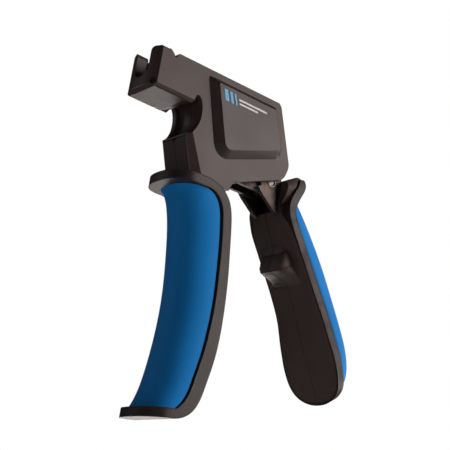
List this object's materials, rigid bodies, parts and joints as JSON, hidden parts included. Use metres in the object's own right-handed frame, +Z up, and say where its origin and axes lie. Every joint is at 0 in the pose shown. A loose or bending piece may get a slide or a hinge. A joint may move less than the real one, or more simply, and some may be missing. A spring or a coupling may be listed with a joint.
{
  "type": "hollow-wall anchor setting tool",
  "caption": "Hand tool that pulls an anchor screw: slotted nose, sliding jaw, fixed curved handle with soft pad and a sprung squeeze lever on a steel frame.",
  "frame": {"origin": "on the anchor screw's axis, level with the corners of the nose face", "axes": "-X out of the nose, +X towards the squeeze lever, +Z up, Y across; the parting plane is Y = 0"},
  "size_m": [0.1464, 0.0384, 0.1694],
  "materials": {
    "housing": "satin",
    "panel": "satin",
    "soft_grip": "matte",
    "dark_steel": "satin",
    "bright_steel": "satin",
    "spring_steel": "satin",
    "acetal": "satin",
    "print_blue": "satin",
    "print_pale": "satin"
  },
  "bodies": {
    "gun": {"housing_left": "housing", "housing_right": "housing", "side_panel_left": "panel", "side_panel_right": "panel", "grip_frame": "housing", "front_grip_pad": "soft_grip", "nose_anvil": "bright_steel", "bar_guide": "acetal", "chassis_plate_left": "dark_steel", "chassis_plate_right": "dark_steel", "chassis_spacers": "bright_steel", "pivot_pin": "bright_steel", "spring_seat": "acetal", "return_spring": "spring_steel", "housing_screws": "spring_steel", "stripes_blue": "print_blue", "stripes_pale": "print_pale"},
    "draw": {"draw_bar": "dark_steel", "screw_jaw": "bright_steel", "jaw_pins": "bright_steel", "drive_pin": "bright_steel", "drive_pin_clips": "spring_steel"},
    "lever": {"lever_plate_left": "dark_steel", "lever_plate_right": "dark_steel", "lever_spacer": "dark_steel", "lever_rivets": "bright_steel", "lever_core_left": "housing", "lever_core_right": "housing", "lever_rim": "housing", "rear_grip_pad": "soft_grip"}
  },
  "joints": [
    {"name": "lever_pivot", "type": "hinge", "parent": "gun", "child": "lever", "pos_m": [0.0781, 0, -0.0313], "axis": [0, 1, 0], "range_deg": [0, 28], "stiffness_Nm_per_rad": 0.9, "springref_deg": -20.05},
    {"name": "draw_slide", "type": "slide", "parent": "gun", "child": "draw", "axis": [1, 0, 0], "range_m": [0, 0.0116], "deforming": ["return_spring"]}
  ],
  "couplings": [
    {"joint": "draw_slide", "follows": "lever_pivot", "m_per_rad": 0.023532}
  ]
}
